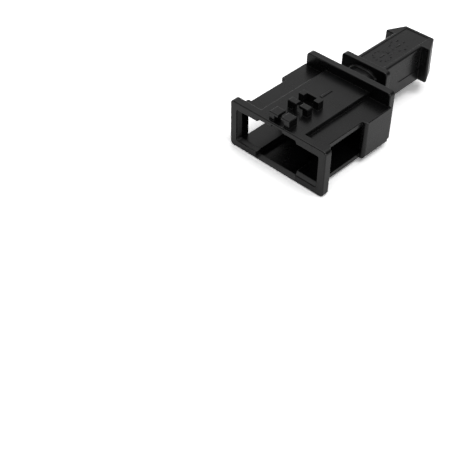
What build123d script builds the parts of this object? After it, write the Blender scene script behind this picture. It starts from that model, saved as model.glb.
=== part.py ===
"""Housing of a small wire-to-wire connector, moulded in one piece.

Millimetres, +Z up, +Y from the mating face to the cable end. The origin is the
middle of the mating face's lower edge. The part is symmetric about X = 0.
"""
import os

from build123d import *

# General moulding sizes
WALL = 1.25              # plate above the cavity and the thin side walls
CORNER_R = 1.0           # corners of the three flanges
RIM_R = 0.3              # rounding of the flange rims
EDGE_R = 0.25            # rounding of the other outer edges
OVERLAP = 0.4            # how far joined pieces run into each other

# Front flange and body
FLANGE_W = 30.0
FLANGE_H = 13.25
FLANGE_T = 2.2
BODY_L = 23.4            # front flange to rear flange
PLATE_TOP_Z = 11.96      # top of the side parts of the upper plate
PANEL_W = 13.9           # raised middle panel, flush with the flange
RAIL_Z = 1.0             # underside of the floor beside the keel
FLOOR_T = 1.4            # floor beside the channel
KEEL_W = 14.6            # lower middle panel, below the channel
REAR_WALL = 1.0          # end wall of the cavity, ahead of the rear flange

# Mating opening
SIDE_BAR = 2.0           # flange beside the opening
TOP_BAR = 2.05           # flange above the opening
LEAD_DEPTH = 1.3         # funnel that leads the mating half in
LEAD_LIP = 0.3           # straight start of the funnel
LEAD_STEP = 0.7          # how far the funnel draws in at the sides
LEAD_RISE = 0.55         # and at the floor
LEAD_R = 0.5             # corners of the funnel's mouth
CHANNEL_W = 12.0         # deeper middle of the floor
CHANNEL_FLARE = 0.4      # how much each side of the channel opens out at the mouth
CHANNEL_Z = 0.9
LIP_Z = 0.25             # start of the ramp that leads into the channel
KEYWAY_W = 11.8          # raised middle of the ceiling
KEYWAY_SLOPE = 0.5
SLOT_W = 3.4             # groove in the middle of the keyway
SLOT_H = 0.6
SLOT_L = 6.0

# Side windows with the post ahead of them and the block behind
POST_L = 1.4
POST_T = 0.82
TAB_L = 0.7              # upper plate beyond the post
TAB_R = 0.45
WINDOW_L = 13.0
BLOCK_T = 1.4
BLOCK_RISE = 0.25        # underside of the block above the rail
BLOCK_R = 0.8

# Lugs on the panel, two pairs and one bracket around a T-shaped slot
LUG_H = 2.2
LUG_W = 6.2              # across a pair
LUG_HEAD_T = 0.7
LUG_NECK_W = 3.1         # slot between the stems
LUG_MOUTH_W = 0.95       # slot between the heads
LUG_FRONT_Y = 0.8
LUG_FRONT_L = 2.8
LUG_MID_Y = 7.2
LUG_MID_L = 1.75
BRACKET_Y = 11.1
BRACKET_L = 1.8
BRACKET_BACK_T = 0.5
RIDGE_Y = 15.7           # low rounded ridge behind the bracket
RIDGE_L = 4.0
RIDGE_W = 0.9
RIDGE_H = 0.25

# Rear flange, neck and small flange
REAR_W = 26.4
REAR_T = 2.0
REAR_LOW_Z = 1.06
REAR_TOP_Z = 15.65
NECK_L = 4.54
NECK_W = 8.2
NECK_LOW_Z = 5.3
NECK_TOP_Z = 13.6
NECK_R = 2.8
COLLAR_T = 0.75
COLLAR_RISE = 0.5
SMALL_W = 14.2
SMALL_T = 1.76
SMALL_TOP_Z = 15.38

# Cable tube and its barbed end
TUBE_L = 16.36
TUBE_W = 9.3
TUBE_LOW_Z = 3.6
TUBE_TOP_Z = 14.12
TUBE_R = 0.6
PAD_INSET = 1.05         # border of the sunk pads on the top and the sides
PAD_DEPTH = 0.15
SIDE_PAD_L = 9.9         # side pads, up to the barb
SIDE_PAD_H = 5.9
BARB_L = 5.44
BARB_W = 15.0            # shoulder at the crease, before its edges are rounded
BARB_END_W = 9.4         # end face at the crease
BARB_CREASE_H = 2.7      # height of the crease above the underside
BARB_DRAFT = 0.25        # how far each side leans in from the crease to the top
BARB_TUCK = 0.2          # how far each side draws in below the crease at the shoulder
BARB_FLARE = 0.1         # and how far it opens out there at the end face
BARB_CROWN_R = 0.5
BARB_FOOT_R = 1.0        # lower edge of the shoulder
BARB_SIDE_R = 0.4        # lower edges of the sides and outer edges of the shoulder

# Cable bore, its rebate at the cable end and the four corner stops in there
NECK_WALL = 1.1
BORE_W = 6.4             # in the tube
BORE_FLOOR = 1.3
BORE_ROOF = 1.8
BORE_R = 0.6
MOUTH_DEPTH = 1.0
MOUTH_WALL = 0.8
MOUTH_FLOOR = 0.8
MOUTH_ROOF = 1.25
STOP_SINK = 0.2          # stops below the end face
STOP_W = 1.6
STOP_H = 1.45
STOP_L = 2.0
STOP_CHAMFER = 0.3

# Stations along Y
Y_WINDOW = FLANGE_T + POST_L
Y_BLOCK = Y_WINDOW + WINDOW_L
Y_REAR = FLANGE_T + BODY_L
Y_NECK = Y_REAR + REAR_T
Y_SMALL = Y_NECK + NECK_L
Y_TUBE = Y_SMALL + SMALL_T
Y_BARB = Y_TUBE + TUBE_L
Y_END = Y_BARB + BARB_L

# Sizes that follow from the ones above
LEAD_HALF = FLANGE_W / 2 - SIDE_BAR
CAVITY_HALF = LEAD_HALF - LEAD_STEP
CEILING_Z = PLATE_TOP_Z - WALL
LAND_Z = RAIL_Z + FLOOR_T
KEYWAY_Z = FLANGE_H - WALL
MOUTH_HALF = BARB_END_W / 2 - MOUTH_WALL
MOUTH_LOW_Z = TUBE_LOW_Z + MOUTH_FLOOR
MOUTH_TOP_Z = TUBE_TOP_Z - MOUTH_ROOF


def upright(y):
    """Plane across the part at a station, seen from the mating side."""
    return Plane(origin=(0, y, 0), x_dir=(1, 0, 0), z_dir=(0, -1, 0))


def along_y(profile, start, end):
    """Extrude an X-Z profile from one station to another."""
    return extrude(upright(start) * profile, amount=start - end)


def pane(width, low, high, radius=0.0):
    """X-Z rectangle centred on X = 0, with rounded corners if asked for."""
    height = high - low
    shape = RectangleRounded(width, height, radius) if radius else Rectangle(width, height)
    return Pos(0, (low + high) / 2) * shape


def mirrored(points):
    """X-Z face from its right-hand outline, listed from the lower middle to the upper."""
    left = [(-x, z) for x, z in reversed(points)]
    return Polygon(*points, *left, align=None)


def cuboid(x, y, z):
    """Box between the given pairs of limits."""
    size = [high - low for low, high in (x, y, z)]
    return Pos(x[0], y[0], z[0]) * Box(*size, align=(Align.MIN, Align.MIN, Align.MIN))


def both_sides(shape):
    """The shape and its mirror image across X = 0."""
    return shape + mirror(shape, about=Plane.YZ)


def flange(width, low, high, start, thickness):
    """Plate across the axis with round corners and rounded rims."""
    plate = along_y(pane(width, low, high, CORNER_R), start, start + thickness)
    faces = plate.faces().sort_by(Axis.Y)
    return fillet(faces[0].edges() + faces[-1].edges(), RIM_R)


def body_prism():
    """Outer form between the flanges, with its raised panel and keel, outer edges rounded."""
    outline = mirrored([
        (KEEL_W / 2, 0), (KEEL_W / 2, RAIL_Z), (CAVITY_HALF, RAIL_Z),
        (CAVITY_HALF, PLATE_TOP_Z), (PANEL_W / 2, PLATE_TOP_Z), (PANEL_W / 2, FLANGE_H),
    ])
    prism = along_y(outline, FLANGE_T - OVERLAP, Y_REAR + OVERLAP)
    edges = prism.edges().filter_by(Axis.Y)
    levels = edges.group_by(Axis.Z)
    return fillet(levels[0] + levels[-1] + edges.group_by(Axis.X)[0] + edges.group_by(Axis.X)[-1],
                  EDGE_R)


def side_post():
    """Short wall that stiffens the flange ahead of the window, with a tab on top."""
    reach = (CAVITY_HALF - WALL, CAVITY_HALF + POST_T)
    start = FLANGE_T - OVERLAP
    wall = cuboid(reach, (start, Y_WINDOW), (RAIL_Z + EDGE_R, PLATE_TOP_Z))
    tab = cuboid(reach, (start, Y_WINDOW + TAB_L), (CEILING_Z, PLATE_TOP_Z))
    tab = fillet(tab.edges().filter_by(Axis.Z).sort_by(Axis.Y)[2:].sort_by(Axis.X)[-1], TAB_R)
    return wall + tab


def side_block():
    """Thick side wall behind the window, rounded at its outer edges."""
    outer = CAVITY_HALF + BLOCK_T
    block = cuboid((CAVITY_HALF - WALL, outer), (Y_BLOCK, Y_REAR + OVERLAP),
                   (RAIL_Z + BLOCK_RISE, PLATE_TOP_Z))
    side = block.faces().sort_by(Axis.X)[-1]
    low = side.edges().sort_by(Axis.Z)[0]
    front = side.edges().sort_by(Axis.Y)[0]
    block = fillet([low, front], BLOCK_R)
    top = block.faces().sort_by(Axis.Z)[-1].edges().sort_by(Axis.X)[-1]
    return fillet(top, EDGE_R)


def cavity():
    """Inside of the body, open at the front, with channel, lands and keyway."""
    outline = mirrored([
        (CHANNEL_W / 2, CHANNEL_Z), (CHANNEL_W / 2, LAND_Z), (CAVITY_HALF, LAND_Z),
        (CAVITY_HALF, CEILING_Z),
    ])
    keyway = mirrored([
        (KEYWAY_W / 2 + KEYWAY_SLOPE, CEILING_Z - OVERLAP), (KEYWAY_W / 2 + KEYWAY_SLOPE, CEILING_Z),
        (KEYWAY_W / 2, KEYWAY_Z),
    ])
    end = Y_REAR - REAR_WALL
    return along_y(outline, LEAD_DEPTH, end) + along_y(keyway, -OVERLAP, end)


def lead_in():
    """Funnel in the mating face, with the flared ramp of the channel and the groove above."""
    mouth = pane(2 * LEAD_HALF, LAND_Z - LEAD_RISE, FLANGE_H - TOP_BAR, LEAD_R)
    throat = pane(2 * CAVITY_HALF, LAND_Z, CEILING_Z, LEAD_R / 2)
    funnel = along_y(mouth, -OVERLAP, LEAD_LIP)
    funnel += loft([upright(LEAD_LIP) * mouth, upright(LEAD_DEPTH) * throat], ruled=True)
    ramp = loft([upright(0) * pane(CHANNEL_W + 2 * CHANNEL_FLARE, LIP_Z, CEILING_Z),
                 upright(LEAD_DEPTH) * pane(CHANNEL_W, CHANNEL_Z, CEILING_Z)], ruled=True)
    groove = along_y(pane(SLOT_W, KEYWAY_Z - OVERLAP, KEYWAY_Z + SLOT_H), -OVERLAP, SLOT_L)
    return funnel + ramp + groove


def windows():
    """Openings through both side walls between the posts and the blocks."""
    opening = cuboid((0, FLANGE_W), (Y_WINDOW, Y_BLOCK), (LAND_Z, CEILING_Z))
    return both_sides(opening)


def lug_pair(start, length):
    """Two facing hooks that leave a T-shaped slot between them."""
    top = FLANGE_H + LUG_H
    outline = Polygon(
        (LUG_W / 2, FLANGE_H - OVERLAP), (LUG_W / 2, top), (LUG_MOUTH_W / 2, top),
        (LUG_MOUTH_W / 2, top - LUG_HEAD_T), (LUG_NECK_W / 2, top - LUG_HEAD_T),
        (LUG_NECK_W / 2, FLANGE_H - OVERLAP), align=None)
    hook = along_y(outline, start, start + length)
    crown = hook.faces().sort_by(Axis.Z)[-1].edges()
    return both_sides(fillet(crown, EDGE_R))


def bracket():
    """Stop at the end of the slot: two arms joined by a thin back."""
    top = FLANGE_H + LUG_H
    limits = (BRACKET_Y, BRACKET_Y + BRACKET_L)
    base = (FLANGE_H - OVERLAP, top)
    frame = cuboid((-LUG_W / 2, LUG_W / 2), limits, base)
    frame -= cuboid((-LUG_NECK_W / 2, LUG_NECK_W / 2),
                    (limits[0] - OVERLAP, limits[1] - BRACKET_BACK_T), (FLANGE_H, top + OVERLAP))
    return frame


def ridge():
    """Low rib on the middle of the panel."""
    rib = cuboid((-RIDGE_W / 2, RIDGE_W / 2), (RIDGE_Y, RIDGE_Y + RIDGE_L),
                 (FLANGE_H - OVERLAP, FLANGE_H + RIDGE_H))
    return fillet(rib.faces().sort_by(Axis.Z)[-1].edges(), RIDGE_W / 3)


def arch(spread):
    """Neck section with its large upper radius, grown by the given amount."""
    face = pane(NECK_W + 2 * spread, NECK_LOW_Z - spread, NECK_TOP_Z + spread)
    face = fillet(face.vertices().group_by(Axis.Y)[-1], NECK_R + spread)
    return fillet(face.vertices().group_by(Axis.Y)[0], CORNER_R)


def neck():
    """Waist between the rear and the small flange, with a collar at each end."""
    waist = along_y(arch(0), Y_NECK - OVERLAP, Y_SMALL + OVERLAP)
    front = along_y(arch(COLLAR_RISE), Y_NECK - OVERLAP, Y_NECK + COLLAR_T)
    back = along_y(arch(COLLAR_RISE), Y_SMALL - COLLAR_T, Y_SMALL + OVERLAP)
    front = chamfer(front.faces().sort_by(Axis.Y)[-1].edges(), COLLAR_RISE / 2)
    back = chamfer(back.faces().sort_by(Axis.Y)[0].edges(), COLLAR_RISE / 2)
    return waist + front + back


def tube():
    """Cable tube with rounded edges and a sunk pad on each side."""
    shell = along_y(pane(TUBE_W, TUBE_LOW_Z, TUBE_TOP_Z), Y_TUBE - OVERLAP, Y_BARB + BARB_FOOT_R)
    shell = fillet(shell.edges().filter_by(Axis.Y), TUBE_R)
    pad = cuboid((TUBE_W / 2 - PAD_DEPTH, TUBE_W), (Y_BARB - SIDE_PAD_L, Y_BARB + TUBE_W),
                 (TUBE_TOP_Z - PAD_INSET - SIDE_PAD_H, TUBE_TOP_Z - PAD_INSET))
    start = pad.faces().sort_by(Axis.Y)[0]
    return shell - both_sides(fillet(start.edges().filter_by(Axis.X), SIDE_PAD_H / 3))


def top_pad():
    """Cutter for the shallow panel on top of the tube and the barb."""
    return cuboid((PAD_INSET - TUBE_W / 2, TUBE_W / 2 - PAD_INSET), (Y_TUBE, Y_END - PAD_INSET),
                  (TUBE_TOP_Z - PAD_DEPTH, TUBE_TOP_Z + OVERLAP))


def barb_section(width, flare):
    """Section of the barb, opened out by the given amount from the crease to the underside."""
    return mirrored([
        (width / 2 + flare, TUBE_LOW_Z), (width / 2, TUBE_LOW_Z + BARB_CREASE_H),
        (width / 2 - BARB_DRAFT, TUBE_TOP_Z),
    ])


def barb():
    """Wedge at the cable end: shoulder with a rounded foot, tapered to the end face."""
    wedge = loft([upright(Y_BARB) * barb_section(BARB_W, -BARB_TUCK),
                  upright(Y_END) * barb_section(BARB_END_W, BARB_FLARE)], ruled=True)
    foot = wedge.faces().sort_by(Axis.Z)[0].edges().sort_by(Axis.Y)[0]
    wedge = fillet(foot, BARB_FOOT_R)
    # From the keel the rounding runs on around the foot and up the shoulder
    keel = wedge.faces().sort_by(Axis.Z)[0].edges().sort_by(Axis.Y)[1:3]
    wedge = fillet(keel, BARB_SIDE_R)
    crown = wedge.faces().sort_by(Axis.Z)[-1].edges().sort_by(Axis.Y)[1:]
    return fillet(crown, BARB_CROWN_R)


def bore():
    """Passage for the cable: narrow in the neck, wider in the tube, with its rebate."""
    narrow = along_y(pane(NECK_W - 2 * NECK_WALL, NECK_LOW_Z + NECK_WALL, KEYWAY_Z, BORE_R),
                     Y_REAR - REAR_WALL - OVERLAP, Y_TUBE)
    wide = along_y(pane(BORE_W, TUBE_LOW_Z + BORE_FLOOR, TUBE_TOP_Z - BORE_ROOF, BORE_R),
                   Y_TUBE - OVERLAP, Y_END)
    mouth = along_y(pane(2 * MOUTH_HALF, MOUTH_LOW_Z, MOUTH_TOP_Z, BORE_R),
                    Y_END - MOUTH_DEPTH, Y_END + OVERLAP)
    return narrow + wide + mouth


def stops():
    """Four corner blocks in the rebate that hold the cable seal."""
    reach = (MOUTH_HALF - STOP_W, MOUTH_HALF + OVERLAP)
    lengths = (Y_END - STOP_SINK - STOP_L, Y_END - STOP_SINK)
    upper = cuboid(reach, lengths, (MOUTH_TOP_Z - STOP_H, MOUTH_TOP_Z + OVERLAP))
    lower = cuboid(reach, lengths, (MOUTH_LOW_Z - OVERLAP, MOUTH_LOW_Z + STOP_H))
    upper, lower = (
        chamfer(block.faces().sort_by(Axis.X)[0].edges().sort_by(Axis.Y)[-1], STOP_CHAMFER)
        for block in (upper, lower))
    return both_sides(upper + lower)


def housing():
    """The whole moulding as one solid."""
    shape = body_prism() + both_sides(side_post()) + both_sides(side_block())
    shape += flange(FLANGE_W, 0, FLANGE_H, 0, FLANGE_T)
    shape += flange(REAR_W, REAR_LOW_Z, REAR_TOP_Z, Y_REAR, REAR_T)
    shape += flange(SMALL_W, 0, SMALL_TOP_Z, Y_SMALL, SMALL_T)
    shape += neck() + tube() + barb()
    shape -= cavity()
    shape -= lead_in()
    shape -= windows()
    shape += lug_pair(LUG_FRONT_Y, LUG_FRONT_L) + lug_pair(LUG_MID_Y, LUG_MID_L)
    shape += bracket() + ridge()
    shape -= bore() + top_pad()
    shape += stops()
    return shape


def main():
    """Write the part."""
    os.makedirs("parts", exist_ok=True)
    shape = housing()
    export_step(shape.solids()[0], "parts/housing.step")
    print("solids", len(shape.solids()), "volume", round(shape.volume, 1))


main()
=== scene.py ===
"""Looks of the connector housing: moulded plastic, number dials, white floor, light and camera."""
import math

import bmesh
import bpy
from mathutils import Matrix, Vector


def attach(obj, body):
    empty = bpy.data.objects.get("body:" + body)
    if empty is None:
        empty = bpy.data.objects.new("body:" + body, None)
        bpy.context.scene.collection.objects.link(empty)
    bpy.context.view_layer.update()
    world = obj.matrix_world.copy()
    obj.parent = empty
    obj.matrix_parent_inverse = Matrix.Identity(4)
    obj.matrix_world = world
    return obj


MM = 0.001

# Camera fitted to the photograph, in millimetres and degrees
EYE = (117.01, -135.38, 146.98)
AZIMUTH = 44.69
ELEVATION = 42.782
ROLL = -0.066
FOCAL_PX = 955.0
FRAME_PX = 450
SENSOR_MM = 36.0
NEAREST_MM = 10

# Plastic, lengths in millimetres
BASE_DARK = (0.0014, 0.0014, 0.0015, 1)
BASE_PALE = (0.0024, 0.0024, 0.0026, 1)
EDGE_WEAR_AND_HIGHLIGHT = (0.02, 0.02, 0.0203, 1)  # edges painted paler: painted highlight where edges catch the light, partly rubbed wear
IOR = 1.5
ROUGH = (0.24, 0.32)            # least and most
CLOUD_SIZE = 9                  # patches of tone and gloss
CLOUD_RANGE = (0.3, 0.7)
EDGE_R = 0.12
EDGE_SAMPLES = 6
EDGE_TURN = (0.995, 0.86)       # cosine between the rounded and the flat normal: none, full
EDGE_PATCH_SIZE = 1.2                  # patches of the paler edges: wear and painted highlight
EDGE_PATCH_RANGE = (0.4, 0.65)
EDGE_PATCH_LEAST = 0.2
GRAIN_SIZE = 0.16
GRAIN_DEPTH = 0.006
GRAIN_STRENGTH = 0.35

# Raised number dials on the tube's sunk top pad, in millimetres
PAD_Z = 13.97
DIALS = (("dial_months", 39.6, 12), ("dial_years", 46.4, 8))  # name, place along Y, count
DIAL_R = 2.3
DIGIT = 1.0
RAISED = 0.1
SUNK = 0.02                     # of that, below the pad's face
BAR = (0.3, 1.8)                # width and length
CURVE_STEPS = 3

# Light: strengths of the world, and lamps in millimetres and watts
AWAY = (-0.70, 0.71, 0)         # level direction from the camera to the part
WALL_RANGE = (0.2, 0.7)         # along AWAY
WALL_NEAR = 0.07                # behind the camera
WALL_FAR = 0.44                 # behind the part
ROOF_RANGE = (0.6, 1.0)         # along Z
ROOF = 1.35                     # added overhead
MIDDLE = (0, 28, 6)             # what the lamps point at
LAMPS = (                       # name, place, size, power
    ("overhead", (270, 150, 640), 200, 0.7),
    ("side", (810, -60, 380), 260, 2.4),
    ("rim", (-700, 740, 150), 400, 0.5),
)
FLOOR_M = 4.0
FLOOR_WHITE = 0.75
FLOOR_SEEN = 0.86               # twice this to the camera


def add(nodes, kind, **values):
    """Make a shader node and set its properties."""
    node = nodes.new(kind)
    for name, value in values.items():
        setattr(node, name, value)
    return node


def remap(tree, source, span, result, shape="LINEAR"):
    """Turn a value's span into a result's span, held at both ends."""
    node = add(tree.nodes, "ShaderNodeMapRange", interpolation_type=shape)
    for name, value in zip(("From Min", "From Max", "To Min", "To Max"), (*span, *result)):
        node.inputs[name].default_value = value
    tree.links.new(source, node.inputs["Value"])
    return node.outputs["Result"]


def noise(tree, coords, size, detail=2):
    """Noise with patches of about a size in millimetres."""
    node = add(tree.nodes, "ShaderNodeTexNoise")
    node.inputs["Scale"].default_value = 1 / (size * MM)
    node.inputs["Detail"].default_value = detail
    tree.links.new(coords.outputs["Object"], node.inputs["Vector"])
    return node.outputs["Fac"]


def wear(tree, coords, rounded):
    """1 on edges painted paler, partly as wear and partly as painted highlight, 0 elsewhere: where
    the rounded normal leaves the flat one, in patches.
    """
    flat = add(tree.nodes, "ShaderNodeNewGeometry")
    turn = add(tree.nodes, "ShaderNodeVectorMath", operation="DOT_PRODUCT")
    both = add(tree.nodes, "ShaderNodeMath", operation="MULTIPLY")
    tree.links.new(rounded, turn.inputs[0])
    tree.links.new(flat.outputs["Normal"], turn.inputs[1])
    edge = remap(tree, turn.outputs["Value"], EDGE_TURN, (0, 1))
    edge_patches = remap(tree, noise(tree, coords, EDGE_PATCH_SIZE), EDGE_PATCH_RANGE, (EDGE_PATCH_LEAST, 1))
    tree.links.new(edge, both.inputs[0])
    tree.links.new(edge_patches, both.inputs[1])
    return both.outputs["Value"]


def plastic():
    """Satin black moulding: fine spark-eroded grain, uneven gloss, edges painted a little paler as
    wear and as a painted highlight where they catch the light.
    """
    mat = bpy.data.materials.new("housing_plastic")
    mat.use_nodes = True
    tree = mat.node_tree
    shader = tree.nodes["Principled BSDF"]
    shader.inputs["IOR"].default_value = IOR
    coords = add(tree.nodes, "ShaderNodeTexCoord")
    bevel = add(tree.nodes, "ShaderNodeBevel", samples=EDGE_SAMPLES)
    bevel.inputs["Radius"].default_value = EDGE_R * MM
    rounded = bevel.outputs["Normal"]

    cloud = noise(tree, coords, CLOUD_SIZE, 3)
    tone = add(tree.nodes, "ShaderNodeMix", data_type="RGBA")
    tone.inputs["A"].default_value = BASE_DARK
    tone.inputs["B"].default_value = BASE_PALE
    tree.links.new(remap(tree, cloud, CLOUD_RANGE, (0, 1)), tone.inputs["Factor"])
    # Paler edges: painted highlight along the rounded edges, and rubbed wear, in patches
    wear_and_highlight = add(tree.nodes, "ShaderNodeMix", data_type="RGBA")
    wear_and_highlight.inputs["B"].default_value = EDGE_WEAR_AND_HIGHLIGHT
    tree.links.new(wear(tree, coords, rounded), wear_and_highlight.inputs["Factor"])
    tree.links.new(tone.outputs["Result"], wear_and_highlight.inputs["A"])
    tree.links.new(wear_and_highlight.outputs["Result"], shader.inputs["Base Color"])
    tree.links.new(remap(tree, cloud, CLOUD_RANGE, ROUGH), shader.inputs["Roughness"])

    bump = add(tree.nodes, "ShaderNodeBump")
    bump.inputs["Strength"].default_value = GRAIN_STRENGTH
    bump.inputs["Distance"].default_value = GRAIN_DEPTH * MM
    tree.links.new(noise(tree, coords, GRAIN_SIZE), bump.inputs["Height"])
    tree.links.new(rounded, bump.inputs["Normal"])
    tree.links.new(bump.outputs["Normal"], shader.inputs["Normal"])
    return mat


def dress(node, mat):
    """Give a CAD node one material."""
    for slot in node.material_slots:
        slot.material = mat


def digits(value):
    """Mesh of a plain number, centred and raised both ways from Z = 0."""
    font = bpy.data.curves.new("number", "FONT")
    font.body = str(value)
    font.size = DIGIT * MM
    font.extrude = RAISED / 2 * MM
    font.resolution_u = CURVE_STEPS
    font.align_x = "CENTER"
    font.align_y = "CENTER"
    holder = bpy.data.objects.new("number", font)
    mesh = bpy.data.meshes.new_from_object(holder)
    bpy.data.objects.remove(holder)
    return mesh


def dial(name, y, count, mat):
    """Raised date dial: plain numbers from 1 round a pointer bar, the last one at the top."""
    marks = bmesh.new()
    for value in range(1, count + 1):
        turn = 2 * math.pi * value / count
        mesh = digits(value)
        mesh.transform(Matrix.Translation(Vector((math.sin(turn), math.cos(turn), 0)) * DIAL_R * MM))
        marks.from_mesh(mesh)
        bpy.data.meshes.remove(mesh)
    bmesh.ops.create_cube(marks, size=MM, matrix=Matrix.Diagonal((*BAR, RAISED, 1)))
    shape = bpy.data.meshes.new(name)
    marks.to_mesh(shape)
    marks.free()
    shape.materials.append(mat)
    piece = bpy.data.objects.new(name, shape)
    piece.location = Vector((0, y, PAD_Z + RAISED / 2 - SUNK)) * MM
    bpy.context.collection.objects.link(piece)
    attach(piece, "root")


def white(nodes, value):
    """Plain white or grey diffuse shader."""
    node = add(nodes, "ShaderNodeBsdfDiffuse")
    node.inputs["Color"].default_value = (value, value, value, 1)
    return node.outputs["BSDF"]


def seen(tree, plain, shown, output):
    """Send one shader to the light and another to the camera."""
    path = add(tree.nodes, "ShaderNodeLightPath")
    choice = add(tree.nodes, "ShaderNodeMixShader")
    tree.links.new(path.outputs["Is Camera Ray"], choice.inputs["Fac"])
    tree.links.new(plain, choice.inputs[1])
    tree.links.new(shown, choice.inputs[2])
    tree.links.new(choice.outputs["Shader"], tree.nodes[output].inputs["Surface"])


def floor():
    """White floor, brighter to the camera alone, so that only the deep shadow shows there."""
    bpy.ops.mesh.primitive_plane_add(size=FLOOR_M)
    plane = bpy.context.object
    plane.name = "floor"
    mat = bpy.data.materials.new("floor_white")
    mat.use_nodes = True
    tree = mat.node_tree
    tree.nodes.remove(tree.nodes["Principled BSDF"])
    bright = add(tree.nodes, "ShaderNodeAddShader")
    for socket in bright.inputs:
        tree.links.new(white(tree.nodes, FLOOR_SEEN), socket)
    seen(tree, white(tree.nodes, FLOOR_WHITE), bright.outputs["Shader"], "Material Output")
    plane.data.materials.append(mat)


def daylight():
    """Light tent: bright overhead, paler behind the part, dim behind the camera."""
    world = bpy.data.worlds.new("tent")
    world.use_nodes = True
    tree = world.node_tree
    coords = add(tree.nodes, "ShaderNodeTexCoord")
    depth = add(tree.nodes, "ShaderNodeVectorMath", operation="DOT_PRODUCT")
    depth.inputs[1].default_value = AWAY
    axes = add(tree.nodes, "ShaderNodeSeparateXYZ")
    tree.links.new(coords.outputs["Generated"], depth.inputs[0])
    tree.links.new(coords.outputs["Generated"], axes.inputs["Vector"])
    wall = remap(tree, depth.outputs["Value"], WALL_RANGE, (WALL_NEAR, WALL_FAR), "SMOOTHSTEP")
    roof = remap(tree, axes.outputs["Z"], ROOF_RANGE, (0, ROOF), "SMOOTHSTEP")
    total = add(tree.nodes, "ShaderNodeMath", operation="ADD")
    tree.links.new(wall, total.inputs[0])
    tree.links.new(roof, total.inputs[1])
    tent = tree.nodes["Background"]
    plain = add(tree.nodes, "ShaderNodeBackground")
    for node in (tent, plain):
        node.inputs["Color"].default_value = (1, 1, 1, 1)
    tree.links.new(total.outputs["Value"], tent.inputs["Strength"])
    seen(tree, tent.outputs["Background"], plain.outputs["Background"], "World Output")
    bpy.context.scene.world = world


def lamp(name, place, size, power):
    """Square soft lamp, turned to the part's middle."""
    light = bpy.data.lights.new(name, "AREA")
    light.size = size * MM
    light.energy = power
    holder = bpy.data.objects.new(name, light)
    holder.location = Vector(place) * MM
    aim = Vector(place) - Vector(MIDDLE)
    holder.rotation_euler = aim.to_track_quat("Z", "Y").to_euler()
    bpy.context.collection.objects.link(holder)


def camera():
    """Camera at the photograph's place, with its direction, roll and focal length."""
    a, e, r = (math.radians(v) for v in (AZIMUTH, ELEVATION, ROLL))
    back = Vector((math.sin(a) * math.cos(e), -math.cos(a) * math.cos(e), math.sin(e)))
    level = Vector((math.cos(a), math.sin(a), 0))
    right = math.cos(r) * level + math.sin(r) * back.cross(level)
    up = back.cross(right)
    data = bpy.data.cameras.new("camera")
    data.sensor_width = SENSOR_MM
    data.lens = FOCAL_PX * SENSOR_MM / FRAME_PX
    data.clip_start = NEAREST_MM * MM
    cam = bpy.data.objects.new("camera", data)
    turn = Matrix((right, up, back)).transposed().to_4x4()
    cam.matrix_world = Matrix.Translation(Vector(EYE) * MM) @ turn
    bpy.context.collection.objects.link(cam)
    bpy.context.scene.camera = cam


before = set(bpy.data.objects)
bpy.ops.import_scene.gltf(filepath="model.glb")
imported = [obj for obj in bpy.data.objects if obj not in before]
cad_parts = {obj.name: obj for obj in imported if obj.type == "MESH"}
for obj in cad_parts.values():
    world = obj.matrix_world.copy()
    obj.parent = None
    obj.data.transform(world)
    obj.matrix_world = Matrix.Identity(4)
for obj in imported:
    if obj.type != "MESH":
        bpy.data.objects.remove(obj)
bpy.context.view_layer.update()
bpy.context.scene.view_settings.view_transform = "Standard"
black = plastic()
dress(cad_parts["housing"], black)
for name, y, count in DIALS:
    dial(name, y, count, black)
floor()
daylight()
for name, place, size, power in LAMPS:
    lamp(name, place, size, power)
camera()
